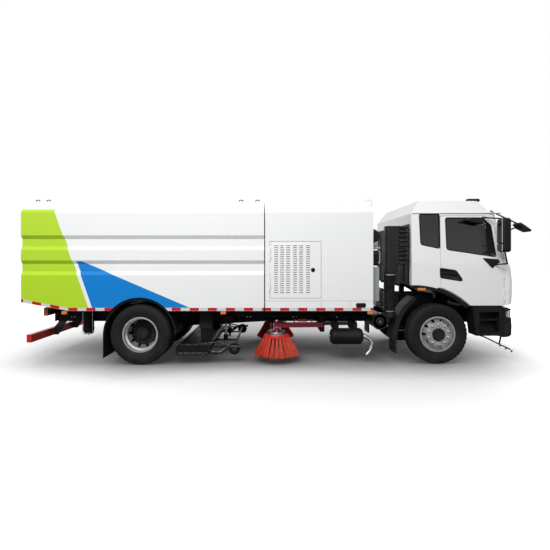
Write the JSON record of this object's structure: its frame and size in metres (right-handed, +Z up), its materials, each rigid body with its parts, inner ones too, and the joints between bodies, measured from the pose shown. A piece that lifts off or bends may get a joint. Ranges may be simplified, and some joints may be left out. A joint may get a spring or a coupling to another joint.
{
  "type": "street sweeper truck",
  "caption": "Cab-over street sweeper truck with a tipping box hopper, louvred equipment compartment, side brushes, a suction nozzle and a tilting cab.",
  "frame": {"origin": "bottom centre of the overall bounding box, on the ground", "axes": "+X forward along the truck, +Y to the truck's left, +Z up"},
  "size_m": [8.5186, 2.96, 2.7848],
  "materials": {
    "chassis_paint": "satin dark grey frame paint",
    "white_paint": "gloss white paint",
    "red_paint": "gloss crimson paint",
    "tyre_rubber": "matt tread rubber",
    "rim_metal": "silver wheel paint",
    "black_plastic": "grained black plastic",
    "lamp_plastic": "clear and coloured lamp lenses",
    "window_glass": "tinted glass",
    "cast_metal": "cast surface",
    "bare_steel": "machined steel",
    "bristle_plastic": "orange red bristles",
    "seat_fabric": "woven seat cloth",
    "alloy": "brushed alloy"
  },
  "bodies": {
    "chassis": {"chassis_frame": "chassis_paint", "leaf_springs": "chassis_paint", "front_axle_beam": "chassis_paint", "rear_axle_housing": "cast_metal", "propeller_shaft": "chassis_paint", "engine_and_gearbox": "cast_metal", "radiator": "alloy", "fuel_tank": "alloy", "air_reservoir": "chassis_paint", "air_intake": "black_plastic", "front_bumper": "black_plastic", "headlamps": "lamp_plastic", "cab_steps": "black_plastic", "front_mudguards": "black_plastic", "rear_mudguards": "black_plastic", "rear_underrun_bar": "red_paint", "rear_lamps": "lamp_plastic", "equipment_compartment": "white_paint", "auxiliary_engine": "cast_metal", "suction_ducts": "black_plastic", "nozzle_guide_posts": "bare_steel", "brush_brackets": "chassis_paint"},
    "cab": {"cab_shell": "white_paint", "cab_glass": "window_glass", "cab_arch_trims": "black_plastic", "cab_grille": "black_plastic", "cab_seats": "seat_fabric", "cab_dashboard": "black_plastic", "front_mirror": "black_plastic"},
    "hopper": {"hopper_body": "white_paint"},
    "tailgate": {"tailgate": "white_paint"},
    "lift_barrel": {"lift_barrel": "chassis_paint"},
    "lift_rod": {"lift_rod": "bare_steel"},
    "nozzle": {"suction_nozzle": "chassis_paint"},
    "tie_rod": {"tie_rod": "chassis_paint"},
    "cab_door_left": {"cab_door_left": "white_paint", "door_glass_left": "window_glass", "door_mirror_left": "black_plastic"},
    "compartment_door_left": {"compartment_door_left": "white_paint"},
    "knuckle_left": {"steering_knuckle_left": "cast_metal"},
    "front_wheel_left": {"front_tyre_left": "tyre_rubber", "front_rim_left": "rim_metal"},
    "rear_wheels_left": {"rear_tyres_left": "tyre_rubber", "rear_rims_left": "rim_metal"},
    "brush_arm_left": {"brush_arm_left": "red_paint"},
    "brush_left": {"brush_left": "bristle_plastic"},
    "cab_door_right": {"cab_door_right": "white_paint", "door_glass_right": "window_glass", "door_mirror_right": "black_plastic"},
    "compartment_door_right": {"compartment_door_right": "white_paint"},
    "knuckle_right": {"steering_knuckle_right": "cast_metal"},
    "front_wheel_right": {"front_tyre_right": "tyre_rubber", "front_rim_right": "rim_metal"},
    "rear_wheels_right": {"rear_tyres_right": "tyre_rubber", "rear_rims_right": "rim_metal"},
    "brush_arm_right": {"brush_arm_right": "red_paint"},
    "brush_right": {"brush_right": "bristle_plastic"}
  },
  "joints": [
    {"name": "steer_left", "type": "hinge", "parent": "chassis", "child": "knuckle_left", "pos_m": [2.699, 0.853, 0.505], "axis": [0, 0, 1], "range_deg": [-38, 38]},
    {"name": "steer_right", "type": "hinge", "parent": "chassis", "child": "knuckle_right", "pos_m": [2.699, -0.853, 0.505], "axis": [0, 0, 1], "range_deg": [-38, 38]},
    {"name": "tie_rod_swing", "type": "hinge", "parent": "knuckle_left", "child": "tie_rod", "pos_m": [2.479, 0.853, 0.407], "axis": [0, 0, 1], "range_deg": [-38, 38]},
    {"name": "cab_tilt", "type": "hinge", "parent": "chassis", "child": "cab", "pos_m": [3.929, 0, 0.74], "axis": [0, 1, 0], "range_deg": [0, 45]},
    {"name": "hopper_tilt", "type": "hinge", "parent": "chassis", "child": "hopper", "pos_m": [-4.061, 0, 0.985], "axis": [0, -1, 0], "range_deg": [0, 45]},
    {"name": "tailgate_swing", "type": "hinge", "parent": "hopper", "child": "tailgate", "pos_m": [-4.243, 0, 2.487], "axis": [0, 1, 0], "range_deg": [0, 85]},
    {"name": "lift_barrel_swing", "type": "hinge", "parent": "chassis", "child": "lift_barrel", "pos_m": [-1.561, 0, 0.7], "axis": [0, -1, 0], "range_deg": [-15.26, 0]},
    {"name": "lift_rod_slide", "type": "slide", "parent": "lift_barrel", "child": "lift_rod", "axis": [-0.9939, 0, 0.1104], "range_m": [0, 0.2058]},
    {"name": "nozzle_lift", "type": "slide", "parent": "chassis", "child": "nozzle", "axis": [0, 0, -1], "range_m": [0, 0.13]},
    {"name": "front_wheel_spin_left", "type": "hinge", "parent": "knuckle_left", "child": "front_wheel_left", "pos_m": [2.699, 1.018, 0.505], "axis": [0, 1, 0], "continuous": true},
    {"name": "rear_wheels_spin_left", "type": "hinge", "parent": "chassis", "child": "rear_wheels_left", "pos_m": [-2.301, 0.924, 0.505], "axis": [0, 1, 0], "continuous": true},
    {"name": "cab_door_swing_left", "type": "hinge", "parent": "cab", "child": "cab_door_left", "pos_m": [3.807, 1.152, 1.37], "axis": [0, 0, -1], "range_deg": [0, 70]},
    {"name": "compartment_door_swing_left", "type": "hinge", "parent": "chassis", "child": "compartment_door_left", "pos_m": [-0.132, 1.25, 1.6], "axis": [0, 0, 1], "range_deg": [0, 100]},
    {"name": "brush_arm_swing_left", "type": "hinge", "parent": "chassis", "child": "brush_arm_left", "pos_m": [0.789, 0.8, 0.615], "axis": [0, 0, -1], "range_deg": [0, 25]},
    {"name": "brush_spin_left", "type": "hinge", "parent": "brush_arm_left", "child": "brush_left", "pos_m": [-0.014, 0.845, 0.512], "axis": [0, 0, 1], "continuous": true},
    {"name": "front_wheel_spin_right", "type": "hinge", "parent": "knuckle_right", "child": "front_wheel_right", "pos_m": [2.699, -1.018, 0.505], "axis": [0, 1, 0], "continuous": true},
    {"name": "rear_wheels_spin_right", "type": "hinge", "parent": "chassis", "child": "rear_wheels_right", "pos_m": [-2.301, -0.924, 0.505], "axis": [0, 1, 0], "continuous": true},
    {"name": "cab_door_swing_right", "type": "hinge", "parent": "cab", "child": "cab_door_right", "pos_m": [3.807, -1.152, 1.37], "axis": [0, 0, 1], "range_deg": [0, 70]},
    {"name": "compartment_door_swing_right", "type": "hinge", "parent": "chassis", "child": "compartment_door_right", "pos_m": [-0.132, -1.25, 1.6], "axis": [0, 0, -1], "range_deg": [0, 100]},
    {"name": "brush_arm_swing_right", "type": "hinge", "parent": "chassis", "child": "brush_arm_right", "pos_m": [0.789, -0.8, 0.615], "axis": [0, 0, 1], "range_deg": [0, 25]},
    {"name": "brush_spin_right", "type": "hinge", "parent": "brush_arm_right", "child": "brush_right", "pos_m": [-0.014, -0.845, 0.512], "axis": [0, 0, 1], "continuous": true}
  ],
  "couplings": [
    {"joint": "steer_right", "follows": "steer_left", "ratio": 1},
    {"joint": "tie_rod_swing", "follows": "steer_left", "ratio": -1},
    {"joint": "lift_barrel_swing", "follows": "hopper_tilt", "ratio": -0.3388},
    {"joint": "lift_rod_slide", "follows": "hopper_tilt", "m_per_rad": 0.2618}
  ]
}
